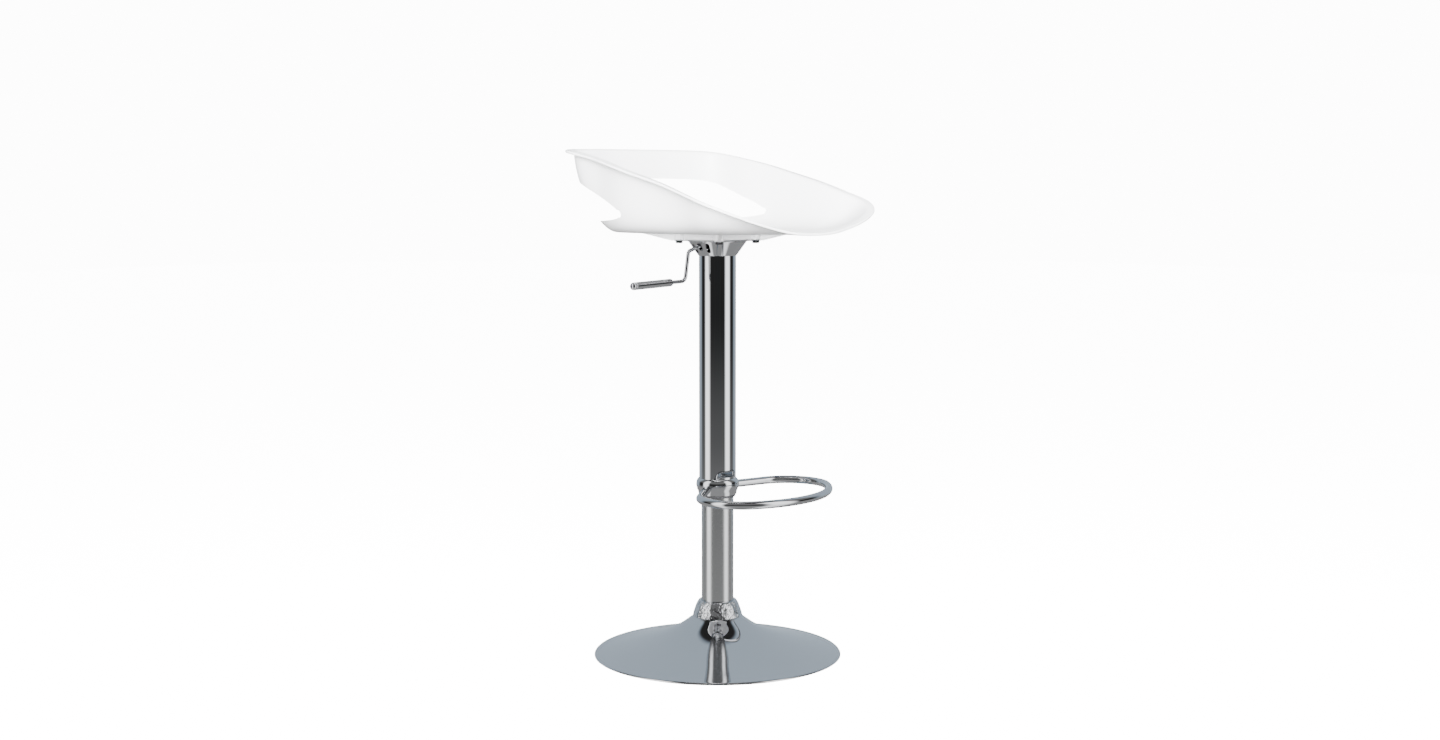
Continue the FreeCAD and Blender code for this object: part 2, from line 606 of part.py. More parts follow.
def opening_cutter():
    """Side profile of the opening behind the pan, right through from side to side."""
    wide = 260.0

    def side(ahead, height):
        return Vector(-wide, -ahead, height)

    top = [side(*p) for p in OPENING_TOP]
    bottom = [side(*p) for p in OPENING_BOTTOM]
    edges = [spline(top), line(top[-1], bottom[-1]), spline(bottom),
             Part.Arc(bottom[0], side(*OPENING_TIP), top[0]).toShape()]
    face = Part.Face(Part.Wire(Part.__sortEdges__(edges)))
    return face.extrude(Vector(2 * wide, 0, 0))


def seat_rib(angle):
    """Tapering rib under the pan, from the boss out along one diagonal."""
    low, high = BOSS_BOTTOM, SEAT_FLOOR + BOSS_SINK
    outline = [point(30.0, low), point(67.0, low), point(67.0, PLATE_BOTTOM), point(70.0, PLATE_BOTTOM),
               point(122.0, SEAT_FLOOR), point(122.0, high), point(30.0, high)]
    rib = Part.Face(Part.makePolygon(outline + outline[:1])).extrude(Vector(0, RIB_THICKNESS, 0))
    rib.translate(Vector(0, -RIB_THICKNESS / 2, 0))
    pad_at = Vector(BOLT_HALF_SPACING * 2 ** 0.5, 0, low)
    rib = rib.fuse(Part.makeCylinder(BOLT_PAD_RADIUS, high - low, pad_at))
    rib.rotate(ORIGIN, UP, angle)
    return rib


def seat_shell():
    """Bowl, its opening, and the boss and ribs under the pan."""
    boss = Part.makeBox(2 * BOSS_HALF, 2 * BOSS_HALF, SEAT_FLOOR + BOSS_SINK - BOSS_BOTTOM,
                        Vector(-BOSS_HALF, -BOSS_HALF, BOSS_BOTTOM))
    corners = [e for e in boss.Edges if e.BoundBox.ZLength > 5.0]
    boss = boss.makeFillet(3.0, corners)
    bowl = seat_bowl().cut(opening_cutter())
    shell = bowl.fuse([boss] + [seat_rib(45.0 + 90.0 * i) for i in range(4)]).removeSplitter()
    insert_hole = at_bolts(lambda: Part.makeCylinder(INSERT_RADIUS, INSERT_LENGTH, Vector(0, 0, BOSS_BOTTOM)))
    return shell.cut(insert_hole)


parts["seat_shell"] = seat_shell()


def seat_bolt():
    """Hexagon-socket button head with its shank through the plate and up into the insert."""
    head = Part.makeCylinder(HEAD_RADIUS, HEAD_HEIGHT, Vector(0, 0, WASHER_BOTTOM - HEAD_HEIGHT))
    low_edge = [e for e in head.Edges if e.BoundBox.ZMax < WASHER_BOTTOM - HEAD_HEIGHT + 0.1]
    head = head.makeFillet(1.6, low_edge)
    shank = Part.makeCylinder(BOLT_RADIUS, PLATE_TOP + 7.0 - WASHER_BOTTOM, Vector(0, 0, WASHER_BOTTOM))
    return head.fuse(shank).cut(hexagon(4.0, WASHER_BOTTOM - HEAD_HEIGHT - 0.1, 1.7))


INSERT_TOP = BOSS_BOTTOM + INSERT_LENGTH
parts["seat_bolts"] = at_bolts(seat_bolt)
parts["bolt_washers"] = at_bolts(lambda: ring(BOLT_RADIUS + 0.2, 6.2, WASHER_BOTTOM, PLATE_BOTTOM, 0.2))
parts["seat_inserts"] = at_bolts(lambda: ring(BOLT_RADIUS, INSERT_RADIUS, BOSS_BOTTOM, INSERT_TOP, 0.2))


if __name__ == "__main__":
    os.makedirs("parts", exist_ok=True)
    for name, shape in parts.items():
        shape.exportStep("parts/%s.step" % name)
        print(name, len(shape.Solids), shape.isValid(), round(shape.Volume))
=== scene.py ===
import json
from math import cos, pi, radians, sin, tan

import bpy
import numpy as np
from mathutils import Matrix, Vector


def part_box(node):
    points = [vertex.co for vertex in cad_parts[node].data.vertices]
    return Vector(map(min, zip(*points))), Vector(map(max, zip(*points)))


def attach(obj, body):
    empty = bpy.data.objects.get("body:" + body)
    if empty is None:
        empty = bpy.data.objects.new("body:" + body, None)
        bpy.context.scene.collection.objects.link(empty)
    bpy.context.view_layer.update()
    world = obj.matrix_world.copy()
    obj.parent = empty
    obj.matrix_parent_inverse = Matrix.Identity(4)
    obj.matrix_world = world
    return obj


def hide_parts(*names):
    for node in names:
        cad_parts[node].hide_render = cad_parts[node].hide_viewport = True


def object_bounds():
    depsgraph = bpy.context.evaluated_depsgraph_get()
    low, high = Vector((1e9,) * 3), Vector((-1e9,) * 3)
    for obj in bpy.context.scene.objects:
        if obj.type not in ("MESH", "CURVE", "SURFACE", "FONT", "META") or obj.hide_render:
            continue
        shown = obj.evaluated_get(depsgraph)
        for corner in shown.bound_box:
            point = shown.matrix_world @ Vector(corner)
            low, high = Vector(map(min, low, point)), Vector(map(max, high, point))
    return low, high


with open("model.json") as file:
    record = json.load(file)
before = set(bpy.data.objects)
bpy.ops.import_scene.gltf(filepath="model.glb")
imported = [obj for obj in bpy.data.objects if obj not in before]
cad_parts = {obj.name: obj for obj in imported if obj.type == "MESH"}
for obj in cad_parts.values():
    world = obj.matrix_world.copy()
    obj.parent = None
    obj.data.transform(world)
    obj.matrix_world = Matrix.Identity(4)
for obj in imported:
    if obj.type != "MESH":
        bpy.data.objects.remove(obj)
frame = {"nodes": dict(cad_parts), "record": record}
cad_low, cad_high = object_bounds()

MM = 0.001
TURN = 2 * pi
LATHE_STEPS = 256
TUBE_SIDES = 40


# ---- camera -----------------------------------------------------------------------------------
CAMERA_HEADING = radians(47.28)     # how far round from the stool's front it stands, on the lever's side
CAMERA_DISTANCE = 2.8685
CAMERA_HEIGHT = 0.7431
CAMERA_PITCH = radians(5.92)
CAMERA_ASIDE = radians(0.077)
CAMERA_LENS = 46.72


def add_camera():
    data = bpy.data.cameras.new("camera")
    data.lens = CAMERA_LENS
    data.sensor_width = 36.0
    data.dof.use_dof = False
    data.clip_start, data.clip_end = 0.05, 100.0
    camera = bpy.data.objects.new("camera", data)
    bpy.context.scene.collection.objects.link(camera)
    camera.location = (-CAMERA_DISTANCE * sin(CAMERA_HEADING), -CAMERA_DISTANCE * cos(CAMERA_HEADING),
                       CAMERA_HEIGHT)
    camera.rotation_euler = (pi / 2 - CAMERA_PITCH, 0, -CAMERA_HEADING - CAMERA_ASIDE)
    bpy.context.scene.camera = camera


# ---- node helper -----------------------------------------------------------------------------
class Tree:
    """Short calls for building a node tree. Inputs may be sockets or constants."""

    def __init__(self, tree):
        self.tree = tree
        tree.nodes.clear()

    def node(self, kind, inputs=(), **settings):
        made = self.tree.nodes.new(kind)
        for key, value in settings.items():
            setattr(made, key, value)
        for key, value in dict(inputs).items():
            self.set(made.inputs[key], value)
        return made

    def set(self, socket, value):
        if isinstance(value, bpy.types.NodeSocket):
            self.tree.links.new(value, socket)
        else:
            socket.default_value = value

    def math(self, operation, a, b=0.0, c=0.0):
        return self.node("ShaderNodeMath", {0: a, 1: b, 2: c}, operation=operation).outputs[0]

    def step(self, value, low, high, out_low=0.0, out_high=1.0):
        """Smooth change from out_low to out_high as value goes from low to high."""
        made = self.node("ShaderNodeMapRange", {0: value, 1: low, 2: high, 3: out_low, 4: out_high},
                         interpolation_type="SMOOTHSTEP")
        return made.outputs[0]

    def mix(self, share, a, b):
        made = self.node("ShaderNodeMix", data_type="RGBA")
        self.set(made.inputs[0], share)
        self.set(made.inputs[6], a)
        self.set(made.inputs[7], b)
        return made.outputs[2]

    def noise(self, where, scale, detail=3.0, rough=0.5):
        made = self.node("ShaderNodeTexNoise", {"Vector": where, "Scale": scale, "Detail": detail,
                                                "Roughness": rough})
        return made.outputs[0]


def grey(level):
    return (level, level, level, 1.0)


# ---- studio -----------------------------------------------------------------------------------
# Plain studio round the stool, the same on both sides. Angles are degrees round from the camera, and
# degrees up.
SIDE_LIGHT = (50, 80)               # tall soft light on each side
LIGHT_TOP = 50
BACK_WALL = 120                     # the pale wall behind the stool starts here
CEILING = 60
FLOOR_EDGE = -9                     # the floor is seen below this, brighter under each light
LIGHT_TONE = 3.0
FLOOR_TONE = 0.4
LIT_FLOOR_TONE = 2.0
SOFT_EDGE = 8                       # degrees over which a light or a wall fades
DARK_ROOM = 0.03
LOW_ROOM = 0.15                     # the dark room is lighter down by the floor
UPPER_ROOM = 0.22                   # and higher up,
UPPER_ROOM_FROM = 12                # from this angle
FLOOR_FADE = 5
CEILING_FADE = 4
WALL_COLOUR = (0.55, 0.65, 0.75, 1.0)
PAPER_GLOW = 13.0
FLOOR_HALF = 12.0
DOME_RADIUS, DOME_RINGS, DOME_SIDES = 14.0, 10, 24


def studio_world():
    """Soft light and reflections by direction: a tall soft light on each side, a pale wall behind, a pale
    floor, and a dim room in front and dark overhead."""
    world = bpy.data.worlds.new("studio")
    bpy.context.scene.world = world
    world.use_nodes = True
    t = Tree(world.node_tree)
    towards = t.node("ShaderNodeTexCoord").outputs["Generated"]

    def along(vector):
        product = t.node("ShaderNodeVectorMath", {0: towards, 1: vector}, operation="DOT_PRODUCT")
        return product.outputs["Value"]

    front = along((-sin(CAMERA_HEADING), -cos(CAMERA_HEADING), 0))
    side = along((cos(CAMERA_HEADING), -sin(CAMERA_HEADING), 0))
    away = t.math("MULTIPLY", t.math("ABSOLUTE", t.math("ARCTAN2", side, front)), 360 / TURN)
    rise = t.math("MULTIPLY", t.math("ARCSINE", along((0, 0, 1))), 360 / TURN)
    near_edge, far_edge = SIDE_LIGHT
    beside = t.math("MULTIPLY", t.step(away, near_edge - SOFT_EDGE, near_edge + SOFT_EDGE),
                    t.step(away, far_edge + SOFT_EDGE, far_edge - SOFT_EDGE))

    room = t.mix(t.step(rise, FLOOR_EDGE + FLOOR_FADE, FLOOR_EDGE), grey(DARK_ROOM), grey(LOW_ROOM))
    room = t.mix(t.step(rise, UPPER_ROOM_FROM, UPPER_ROOM_FROM + SOFT_EDGE), room, grey(UPPER_ROOM))
    colour = t.mix(t.step(away, BACK_WALL - 2 * SOFT_EDGE, BACK_WALL + SOFT_EDGE), room, WALL_COLOUR)
    lights = t.math("MULTIPLY", beside, t.step(rise, LIGHT_TOP + SOFT_EDGE, LIGHT_TOP))
    colour = t.mix(lights, colour, grey(LIGHT_TONE))
    colour = t.mix(t.step(rise, CEILING - CEILING_FADE, CEILING + CEILING_FADE), colour, grey(DARK_ROOM))
    floor_colour = t.mix(beside, grey(FLOOR_TONE), grey(LIT_FLOOR_TONE))
    colour = t.mix(t.step(rise, FLOOR_EDGE + 1, FLOOR_EDGE - 3), colour, floor_colour)
    back = t.node("ShaderNodeBackground", {"Color": colour, "Strength": 1.0})
    out = t.node("ShaderNodeOutputWorld")
    t.set(out.inputs["Surface"], back.outputs[0])


def softbox(name, location, target, size, power):
    """Area light for the matt surfaces; the chrome gets its reflections from the world."""
    data = bpy.data.lights.new(name, "AREA")
    data.shape = "RECTANGLE"
    data.size, data.size_y = size
    data.energy = power
    light = bpy.data.objects.new(name, data)
    bpy.context.scene.collection.objects.link(light)
    light.location = location
    light.rotation_euler = (Vector(target) - Vector(location)).to_track_quat("-Z", "Y").to_euler()
    light.visible_glossy = False


def add_lights():
    top = (0.0, 0.0, 0.7)
    near = (-sin(CAMERA_HEADING), -cos(CAMERA_HEADING))
    softbox("overhead", (0.0, 0.0, 2.7), top, (2.6, 2.6), 100)
    softbox("front_fill", (3.2 * near[0], 3.2 * near[1], 1.35), top, (2.6, 1.8), 1200)


def emission_material(name, level):
    material = bpy.data.materials.new(name)
    material.use_nodes = True
    t = Tree(material.node_tree)
    glow = t.node("ShaderNodeEmission", {"Color": grey(1.0), "Strength": level})
    out = t.node("ShaderNodeOutputMaterial")
    t.set(out.inputs["Surface"], glow.outputs[0])
    return material


def mesh_object(name, vertices, faces, sharp=35.0):
    mesh = bpy.data.meshes.new(name)
    mesh.from_pydata([tuple(v) for v in vertices], [], faces)
    mesh.update()
    mesh.shade_smooth()
    mesh.set_sharp_from_angle(angle=radians(sharp))
    made = bpy.data.objects.new(name, mesh)
    bpy.context.scene.collection.objects.link(made)
    return made


def add_floor():
    """Pale floor and a pale dome round the studio. The chrome sees the world through both."""
    half, low = FLOOR_HALF, cad_low.z
    corners = [(-half, -half, low), (half, -half, low), (half, half, low), (-half, half, low)]
    floor = mesh_object("floor", corners, [(0, 1, 2, 3)])
    material = bpy.data.materials.new("floor_paper")
    material.use_nodes = True
    t = Tree(material.node_tree)
    where = t.node("ShaderNodeTexCoord").outputs["Object"]
    tone = t.mix(t.noise(where, 3.0), grey(0.93), grey(0.95))
    paper = {"Base Color": tone, "Roughness": 0.9, "Specular IOR Level": 0.1,
             "Emission Color": grey(1.0), "Emission Strength": PAPER_GLOW}
    shader = t.node("ShaderNodeBsdfPrincipled", paper)
    out = t.node("ShaderNodeOutputMaterial")
    t.set(out.inputs["Surface"], shader.outputs[0])
    floor.data.materials.append(material)

    rings, sides, radius = DOME_RINGS, DOME_SIDES, DOME_RADIUS
    vertices = [(radius * cos(TURN * j / sides) * cos(pi / 2 * i / rings),
                 radius * sin(TURN * j / sides) * cos(pi / 2 * i / rings),
                 low - 0.5 + radius * sin(pi / 2 * i / rings)) for i in range(rings) for j in range(sides)]
    faces = [(i * sides + j, i * sides + (j + 1) % sides,
              (i + 1) * sides + (j + 1) % sides, (i + 1) * sides + j)
             for i in range(rings - 1) for j in range(sides)]
    faces.append([(rings - 1) * sides + j for j in range(sides)])
    dome = mesh_object("dome", vertices, faces)
    dome.data.materials.append(emission_material("dome_paper", PAPER_GLOW))
    for obj in (floor, dome):
        obj.visible_glossy = False
        obj.visible_diffuse = False
    dome.visible_shadow = False
    dome.visible_transmission = False


add_camera()
studio_world()
add_lights()
add_floor()


# ---- materials ---------------------------------------------------------------------------------
def new_material(name):
    material = bpy.data.materials.new(name)
    material.use_nodes = True
    return material, Tree(material.node_tree)


def finish_material(t, inputs, bump=None, bump_depth=0.0):
    """Principled shader with its inputs, and a bump of that depth in metres."""
    if bump is not None:
        made = t.node("ShaderNodeBump", {"Strength": 1.0, "Distance": bump_depth, "Height": bump})
        inputs = dict(inputs, Normal=made.outputs[0])
    shader = t.node("ShaderNodeBsdfPrincipled", inputs)
    out = t.node("ShaderNodeOutputMaterial")
    t.set(out.inputs["Surface"], shader.outputs[0])


def stretched(t, scale):
    """Object coordinates stretched by scale, for grain with a direction."""
    where = t.node("ShaderNodeTexCoord").outputs["Object"]
    return t.node("ShaderNodeVectorMath", {0: where, 1: scale}, operation="MULTIPLY").outputs[0]


def metal(name, dark, light, smooth, rough, grain, bump_depth):
    """Plated or bare metal: tone and roughness wander a little, with a fine grain on top."""
    material, t = new_material(name)
    where = stretched(t, (1, 1, 1))
    cloud = t.noise(where, 9.0, 4.0)
    fine = t.noise(stretched(t, grain), 1.0, 6.0, 0.7)
    tone = t.mix(cloud, (*dark, 1.0), (*light, 1.0))
    wander = t.math("MULTIPLY", cloud, fine)
    roughness = t.step(wander, 0.1, 0.45, smooth, rough)
    finish_material(t, {"Base Color": tone, "Metallic": 1.0, "Roughness": roughness}, fine, bump_depth)
    return material


def moulded(name, dark, light, smooth, rough, pebble, bump_depth, **extra):
    """Plastic, rubber or paint: fine pebbled texture with a slight wander in tone and gloss."""
    material, t = new_material(name)
    where = stretched(t, (1, 1, 1))
    cloud = t.noise(where, 14.0, 3.0)
    fine = t.noise(where, pebble, 3.0, 0.6)
    tone = t.mix(cloud, (*dark, 1.0), (*light, 1.0))
    roughness = t.step(fine, 0.25, 0.75, smooth, rough)
    finish_material(t, {"Base Color": tone, "Roughness": roughness, **extra}, fine, bump_depth)
    return material


CHROME_TONES = ((0.60, 0.61, 0.63), (0.64, 0.65, 0.67))
MATERIALS = {
    "seat_plastic": moulded("white_abs", (0.86, 0.865, 0.875), (0.885, 0.888, 0.895), 0.26, 0.36, 900.0,
                            0.00001, **{"Coat Weight": 0.25, "Coat Roughness": 0.12}),
    "chrome": metal("mirror_chrome", *CHROME_TONES, 0.01, 0.03, (40, 40, 40), 0.0000006),
    "satin_chrome": metal("satin_chrome", (0.60, 0.61, 0.62), (0.66, 0.67, 0.68), 0.20, 0.27, (60, 60, 900),
                          0.00001),
    "zinc_steel": metal("zinc_steel", (0.50, 0.51, 0.53), (0.60, 0.61, 0.62), 0.22, 0.38, (160, 160, 160),
                        0.00002),
    "black_steel": moulded("black_steel", (0.006, 0.006, 0.007), (0.012, 0.012, 0.013), 0.35, 0.5, 600.0,
                           0.00002, **{"Specular IOR Level": 0.25}),
    "ground_steel": metal("ground_steel", (0.60, 0.61, 0.62), (0.66, 0.67, 0.68), 0.06, 0.12, (50, 50, 1200),
                          0.000004),
    "piston_alloy": metal("piston_alloy", (0.62, 0.62, 0.63), (0.70, 0.70, 0.71), 0.25, 0.35, (60, 60, 1500),
                          0.00001),
    "black_nylon": moulded("black_nylon", (0.016, 0.016, 0.018), (0.026, 0.026, 0.028), 0.38, 0.52, 1100.0,
                           0.00003),
    "black_rubber": moulded("black_rubber", (0.014, 0.014, 0.014), (0.024, 0.024, 0.024), 0.65, 0.8, 1500.0,
                            0.00005),
    "insert_brass": metal("insert_brass", (0.62, 0.45, 0.18), (0.72, 0.54, 0.24), 0.2, 0.35, (90, 90, 700),
                          0.00002),
    "rippled_chrome": metal("rippled_chrome", *CHROME_TONES, 0.01, 0.03, (11, 11, 8), 0.012),
}


def paint(obj, slot_name):
    obj.data.materials.clear()
    obj.data.materials.append(MATERIALS[slot_name])


for entry in frame["record"]["subparts"]:
    paint(frame["nodes"][entry["node"]], entry["material_slot"])


def add_piece(obj, body, slot_name, *nodes, finish=None):
    """Finish, body and CAD nodes of one detailed piece."""
    paint(obj, finish or slot_name)
    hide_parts(*nodes)
    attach(obj, body)
    return obj


# ---- shape helpers -----------------------------------------------------------------------------
def smooth_through(points, count):
    """count points along the natural cubic spline through the given ones."""
    p = np.array(points, float)
    t = np.concatenate([[0.0], np.cumsum(np.linalg.norm(np.diff(p, axis=0), axis=1))])
    h = np.diff(t)
    slope = np.diff(p, axis=0) / h[:, None]
    system, right = np.eye(len(p)), np.zeros_like(p)
    for i in range(1, len(p) - 1):
        system[i, i - 1:i + 2] = h[i - 1], 2 * (h[i - 1] + h[i]), h[i]
        right[i] = 6 * (slope[i] - slope[i - 1])
    bend = np.linalg.solve(system, right)
    s = np.linspace(0.0, t[-1], count)
    i = np.clip(np.searchsorted(t, s, side="right") - 1, 0, len(h) - 1)
    left, right_part = (t[i + 1] - s)[:, None], (s - t[i])[:, None]
    hi = h[i][:, None]
    curve = (bend[i] * left ** 3 + bend[i + 1] * right_part ** 3) / (6 * hi)
    curve += (p[i] / hi - bend[i] * hi / 6) * left + (p[i + 1] / hi - bend[i + 1] * hi / 6) * right_part
    return [tuple(q) for q in curve]


def swing(first, last, share):
    """Vector that share of the way round the arc from first to last."""
    angle = first.angle(last)
    return (first * sin((1 - share) * angle) + last * sin(share * angle)) / sin(angle)


def rounded(corners, steps=4):
    """Closed outline whose corners (x, y, radius) are rounded to their radius."""
    outline = []
    for i, (x, y, radius) in enumerate(corners):
        here = Vector((x, y))
        if radius <= 0:
            outline.append((x, y))
            continue
        before = (Vector(corners[i - 1][:2]) - here).normalized()
        after = (Vector(corners[(i + 1) % len(corners)][:2]) - here).normalized()
        half = before.angle(after) / 2
        reach = radius / tan(half)
        centre = here + (before + after).normalized() * (radius / sin(half))
        first, last = here + before * reach, here + after * reach
        outline += [tuple(centre + swing(first - centre, last - centre, k / steps))
                    for k in range(steps + 1)]
    return outline


def held(outline, closed=True):
    """The outline with extra points just inside both ends of each long run, to keep its shading true."""
    kept = []
    for i, here in enumerate(outline):
        kept.append(here)
        if i + 1 == len(outline) and not closed:
            break
        there = outline[(i + 1) % len(outline)]
        length = (Vector(there) - Vector(here)).length
        if length > 2.0:
            for share in (0.4 / length, 0.8 / length, 1 - 0.8 / length, 1 - 0.4 / length):
                kept.append(tuple(a + (b - a) * share for a, b in zip(here, there)))
    return kept


def lathe(name, outline, steps=LATHE_STEPS):
    """Ring whose section is a closed outline of (radius, height) in millimetres."""
    outline = held(outline)
    count = len(outline)
    vertices, faces = [], []
    for j in range(steps):
        a = TURN * j / steps
        vertices += [(r * MM * sin(a), r * MM * cos(a), z * MM) for r, z in outline]
    for j in range(steps):
        k = (j + 1) % steps
        for i in range(count):
            n = (i + 1) % count
            faces.append((j * count + i, j * count + n, k * count + n, k * count + i))
    return mesh_object(name, vertices, faces)


def sweep(name, path, radii, sides=TUBE_SIDES, axis=None):
    """Closed round bar along a path of points in metres, with one radius or a radius at each point. A turned
    piece gives its axis, since its points may share a place."""
    points = [Vector(p) for p in path]
    if not hasattr(radii, "__len__"):
        radii = [radii] * len(points)
    across = None
    vertices, faces = [], []
    for i, here in enumerate(points):
        along = axis or (points[min(i + 1, len(points) - 1)] - points[max(i - 1, 0)]).normalized()
        across = along.orthogonal() if across is None else across - along * across.dot(along)
        across.normalize()
        other = along.cross(across)
        for j in range(sides):
            a = TURN * j / sides
            vertices.append(here + (across * cos(a) + other * sin(a)) * radii[i])
    last = len(points) - 1
    for i in range(last):
        for j in range(sides):
            k = (j + 1) % sides
            faces.append((i * sides + j, i * sides + k, (i + 1) * sides + k, (i + 1) * sides + j))
    faces.append(tuple(reversed(range(sides))))
    faces.append(tuple(last * sides + j for j in range(sides)))
    return mesh_object(name, vertices, faces)


def bent_path(corners, bends, step_angle=radians(3)):
    """Straight runs joined by tangent arcs of the given radii."""
    points = [Vector(c) for c in corners]
    path = [points[0]]
    hold = 0.6
    for i, radius in enumerate(bends):
        corner = points[i + 1]
        before, after = (points[i] - corner).normalized(), (points[i + 2] - corner).normalized()
        half = before.angle(after) / 2
        centre = corner + (before + after).normalized() * (radius / sin(half))
        first = corner + before * (radius / tan(half)) - centre
        last = corner + after * (radius / tan(half)) - centre
        count = max(2, int((pi - 2 * half) / step_angle))
        path.append(centre + first + before * hold)
        path += [centre + swing(first, last, k / count) for k in range(count + 1)]
        path.append(centre + last + after * hold)
    path.append(points[-1])
    return path


def cut(obj, *cutters):
    """Takes the cutters' shapes out of obj for good."""
    for cutter in cutters:
        modifier = obj.modifiers.new("cut", "BOOLEAN")
        modifier.operation = "DIFFERENCE"
        modifier.solver = "EXACT"
        modifier.object = cutter
    bpy.context.view_layer.update()
    evaluated = obj.evaluated_get(bpy.context.evaluated_depsgraph_get())
    mesh = bpy.data.meshes.new_from_object(evaluated)
    obj.modifiers.clear()
    obj.data = mesh
    for cutter in cutters:
        bpy.data.objects.remove(cutter)
    mesh.shade_smooth()
    mesh.set_sharp_from_angle(angle=radians(35))


# ---- base ----------------------------------------------------------------------------------------
low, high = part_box("base_shell")
BASE_RADIUS = high.x / MM
BASE_SHEET = 1.8
TRUMPET = [(34.0, 66.0), (37.5, 61.5), (46.0, 54.6), (57.0, 46.6), (72.0, 38.2), (100.0, 27.0), (130.0, 17.8),
           (160.0, 9.8), (180.0, 5.6), (BASE_RADIUS - 3.0, 4.0)]


def base_outline():
    outer = smooth_through(TRUMPET, 90)
    edge = [(BASE_RADIUS - 2.2, 3.75), (BASE_RADIUS - 1.4, 3.35), (BASE_RADIUS - 0.8, 2.8),
            (BASE_RADIUS - 0.3, 2.0), (BASE_RADIUS, 1.4), (BASE_RADIUS, 0.8), (BASE_RADIUS - 1.8, 0.8)]
    inner = []
    for i, here in enumerate(outer):
        along = Vector(outer[min(i + 1, len(outer) - 1)]) - Vector(outer[max(i - 1, 0)])
        along.normalize()
        inner.append((here[0] + along.y * BASE_SHEET, here[1] - along.x * BASE_SHEET))
    return outer + edge + inner[::-1]


add_piece(lathe("trumpet_base", base_outline()), "base", "chrome", "base_shell")

low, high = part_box("inner_column")
COLUMN_RADIUS = high.x / MM
column = lathe("column_tube", rounded([
    (COLUMN_RADIUS - 1.5, low.z / MM, 0), (COLUMN_RADIUS, low.z / MM, 0.3),
    (COLUMN_RADIUS, high.z / MM, 0.5), (COLUMN_RADIUS - 1.5, high.z / MM, 0.3)]))
add_piece(column, "base", "satin_chrome", "inner_column")

low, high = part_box("base_collar")
collar_low, collar_high = low.z / MM, high.z / MM
flank = [(38.6, collar_low), (37.6, 66.5), (35.2, 73.5), (33.0, 79.5), (29.8, collar_high - 1.0)]
outside = smooth_through(flank, 40)
outside += [(29.3, collar_high - 0.4), (28.6, collar_high), (25.6, collar_high),
            (COLUMN_RADIUS, collar_high - 0.5)]
outside += [(COLUMN_RADIUS, 67.0), (34.0, 67.0), (37.8, collar_low)]
add_piece(lathe("column_trim_ring", outside), "base", "chrome", "base_collar", finish="rippled_chrome")

# ---- moving tube, bush and footrest -----------------------------------------------------------
low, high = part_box("outer_tube")
TUBE_RADIUS = high.x / MM
TUBE_LOW, TUBE_HIGH = low.z / MM, high.z / MM
TUBE_BORE = TUBE_RADIUS - 1.2
tube = lathe("sliding_tube", rounded([(TUBE_BORE, TUBE_LOW, 0.2), (TUBE_RADIUS, TUBE_LOW, 0.3),
                                      (TUBE_RADIUS, TUBE_HIGH, 0.4), (TUBE_BORE, TUBE_HIGH, 0.4)]))
add_piece(tube, "upper", "chrome", "outer_tube")

low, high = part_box("slide_bush")
BUSH_BORE = COLUMN_RADIUS + 0.05
bush = lathe("guide_bush", rounded([
    (BUSH_BORE, low.z / MM, 0.4), (27.6, low.z / MM, 1.2), (27.8, TUBE_LOW, 0), (TUBE_BORE, TUBE_LOW, 0),
    (TUBE_BORE, high.z / MM, 0.3), (BUSH_BORE, high.z / MM, 0.3)]))
add_piece(bush, "upper", "black_nylon", "slide_bush")

COLLAR_OVER_RIDGE = [(29.3, 25.4), (31.6, 22.6), (33.0, 18.6), (33.3, 14.7)]
COLLAR_UNDER_RIDGE = [(33.3, 13.9), (32.4, 10.6), (30.8, 6.0), (29.4, 0.0)]
over = [(r, TUBE_LOW + z) for r, z in smooth_through(COLLAR_OVER_RIDGE, 24)]
under = [(r, TUBE_LOW + z) for r, z in smooth_through(COLLAR_UNDER_RIDGE, 24)]
ring_outline = over + [(33.15, TUBE_LOW + 14.3)] + under
ring_outline += [(TUBE_RADIUS, TUBE_LOW), (TUBE_RADIUS, over[0][1])]
collar = lathe("footrest_clamp", ring_outline)
screw_low, screw_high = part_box("footrest_screws")
screw_height = (screw_low.z + screw_high.z) / 2


def screw_hole(angle):
    """Cutter for one grub screw hole, angle round from straight behind."""
    direction = Vector((sin(angle), cos(angle), 0))
    height = Vector((0, 0, screw_height))
    path = [direction * 0.027 + height, direction * 0.04 + height]
    return sweep("screw_hole", path, 2.05 * MM, 32)


FOOTREST_TURN = radians(10.6)
cut(collar, *[screw_hole(side * radians(24.0) - FOOTREST_TURN) for side in (-1, 1)])
add_piece(collar, "upper", "chrome", "footrest_collar")


def footrest_path():
    """Arm, corner, broad front, corner and arm, turned a little to the sitter's left."""
    reach, front_bend, corner_bend = 173.4, 166.0, 62.5
    front, arm, arm_start = radians(40.9), radians(65.7), 29.3
    centre = reach - front_bend
    inset = front_bend - corner_bend
    corner = Vector((centre + inset * cos(front), inset * sin(front)))
    half = [Vector((centre + front_bend * cos(front * k / 40), front_bend * sin(front * k / 40)))
            for k in range(40)]
    spread = pi / 2 + arm - front
    half += [corner + Vector((cos(front + spread * k / 60), sin(front + spread * k / 60))) * corner_bend
             for k in range(61)]
    length = (half[-1].y - arm_start) / sin(arm)
    half.append(half[-1] - Vector((cos(arm), sin(arm))) * length)
    whole = [Vector((p.x, -p.y)) for p in reversed(half[1:])] + half
    low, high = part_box("footrest_ring")
    height = (low.z + high.z) / 2
    c, s = cos(FOOTREST_TURN), sin(FOOTREST_TURN)
    return [Vector(((p.y * c + p.x * s) * MM, (p.y * s - p.x * c) * MM, height)) for p in whole]


low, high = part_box("footrest_ring")
footrest = sweep("footrest_loop", footrest_path(), (high.z - low.z) / 2, 48)
add_piece(footrest, "upper", "chrome", "footrest_ring")

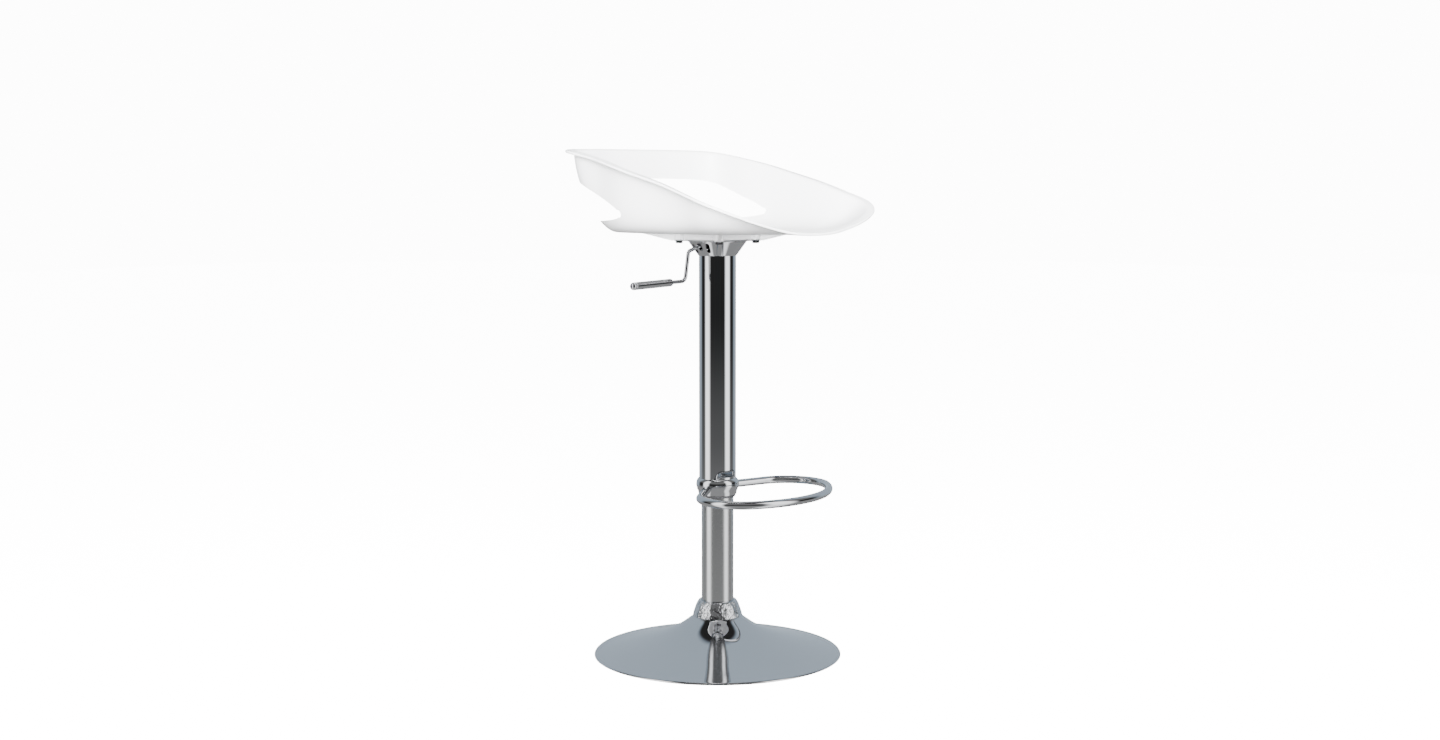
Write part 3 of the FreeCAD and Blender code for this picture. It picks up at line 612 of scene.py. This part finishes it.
# ---- bell and lever -----------------------------------------------------------------------------
low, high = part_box("bell_cover")
BELL_LOW, BELL_HIGH, BELL_RADIUS = low.z / MM, high.z / MM, high.y / MM
bell = lathe("bell_trim", rounded([
    (28.9, BELL_LOW, 0.2), (29.9, BELL_LOW + 1.0, 0.8), (44.8, BELL_HIGH - 1.2, 1.0),
    (BELL_RADIUS, BELL_HIGH, 0), (BELL_RADIUS - 1.2, BELL_HIGH, 0), (43.6, BELL_HIGH - 1.2, 0.5),
    (28.9, BELL_LOW + 1.8, 0)]))


def slot_cutter(width, height, centre, angle):
    """Upright slot with round ends through the lever side of the bell, angle round from -X."""
    half, reach, steps = width / 2, height / 2 - width / 2, 12
    outline = [(half * cos(pi * k / steps), reach + half * sin(pi * k / steps)) for k in range(steps + 1)]
    outline += [(-y, -z) for y, z in outline]
    count = len(outline)
    c, s = cos(angle), sin(angle)
    vertices = []
    for x in (-62.0, -24.0):
        vertices += [((x * c - y * s) * MM, (x * s + y * c) * MM, (centre + z) * MM) for y, z in outline]
    faces = [(i, (i + 1) % count, count + (i + 1) % count, count + i) for i in range(count)]
    faces += [tuple(reversed(range(count))), tuple(range(count, 2 * count))]
    return mesh_object("slot_cutter", vertices, faces)


cut(bell, slot_cutter(8.4, 11.4, 636.1, 0.0), slot_cutter(6.2, 15.0, 634.3, radians(-21)),
    slot_cutter(6.2, 15.0, 634.3, radians(21)))
add_piece(bell, "upper", "chrome", "bell_cover")

LEVER_CORNERS = [(1.5, 638.8), (-36.0, 638.8), (-64.5, 630.5), (-72.0, 585.9)]
LEVER_BENDS = [14.0, 7.0, 9.0]
GRIP_SLOPE = 0.03


def along_grip(x):
    """Point on the grip's axis, in millimetres."""
    corner_x, corner_z = LEVER_CORNERS[-1]
    return Vector((x, 0, corner_z + GRIP_SLOPE * (x - corner_x)))


low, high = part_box("lever_rod")
rod_end = low.x / MM
rod_radius = (high.y - low.y) / 2
corners = [Vector((x, 0, z)) for x, z in LEVER_CORNERS] + [along_grip(rod_end)]
rod = sweep("lever_bar", [p * MM for p in bent_path(corners, LEVER_BENDS)], rod_radius)
add_piece(rod, "lever", "chrome", "lever_rod")

low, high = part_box("lever_grip")
grip_radius = (high.y - low.y) / 2
grip_start, grip_end = high.x / MM, low.x / MM
cap_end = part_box("grip_cap")[0].x / MM


def turned_on_grip(name, outline):
    """Turned piece on the grip's axis, closed at both ends, from (x, radius) in millimetres."""
    axis = (along_grip(grip_end) - along_grip(grip_start)).normalized()
    outline = held(outline, False)
    return sweep(name, [along_grip(x) * MM for x, r in outline], [r * MM for x, r in outline], 64, axis)


r = grip_radius / MM
grip_outline = [(grip_start, 3.2), (grip_start, r - 1.0), (grip_start - 0.15, r - 0.55),
                (grip_start - 0.5, r - 0.2), (grip_start - 1.1, r), (grip_end + 0.6, r),
                (grip_end + 0.2, r - 0.15), (grip_end, r - 0.5), (grip_end, 3.2)]
add_piece(turned_on_grip("lever_handle", grip_outline), "lever", "chrome", "lever_grip")
dome_reach = 4.5
cap_outline = [(grip_end, 3.2), (grip_end, r - 0.6), (grip_end - 0.3, r - 0.15), (grip_end - 0.7, r)]
cap_outline += [(cap_end + dome_reach * (1 - sin(k * pi / 20)), r - dome_reach * (1 - cos(k * pi / 20)))
                for k in range(11)]
add_piece(turned_on_grip("handle_cap", cap_outline), "lever", "chrome", "grip_cap")
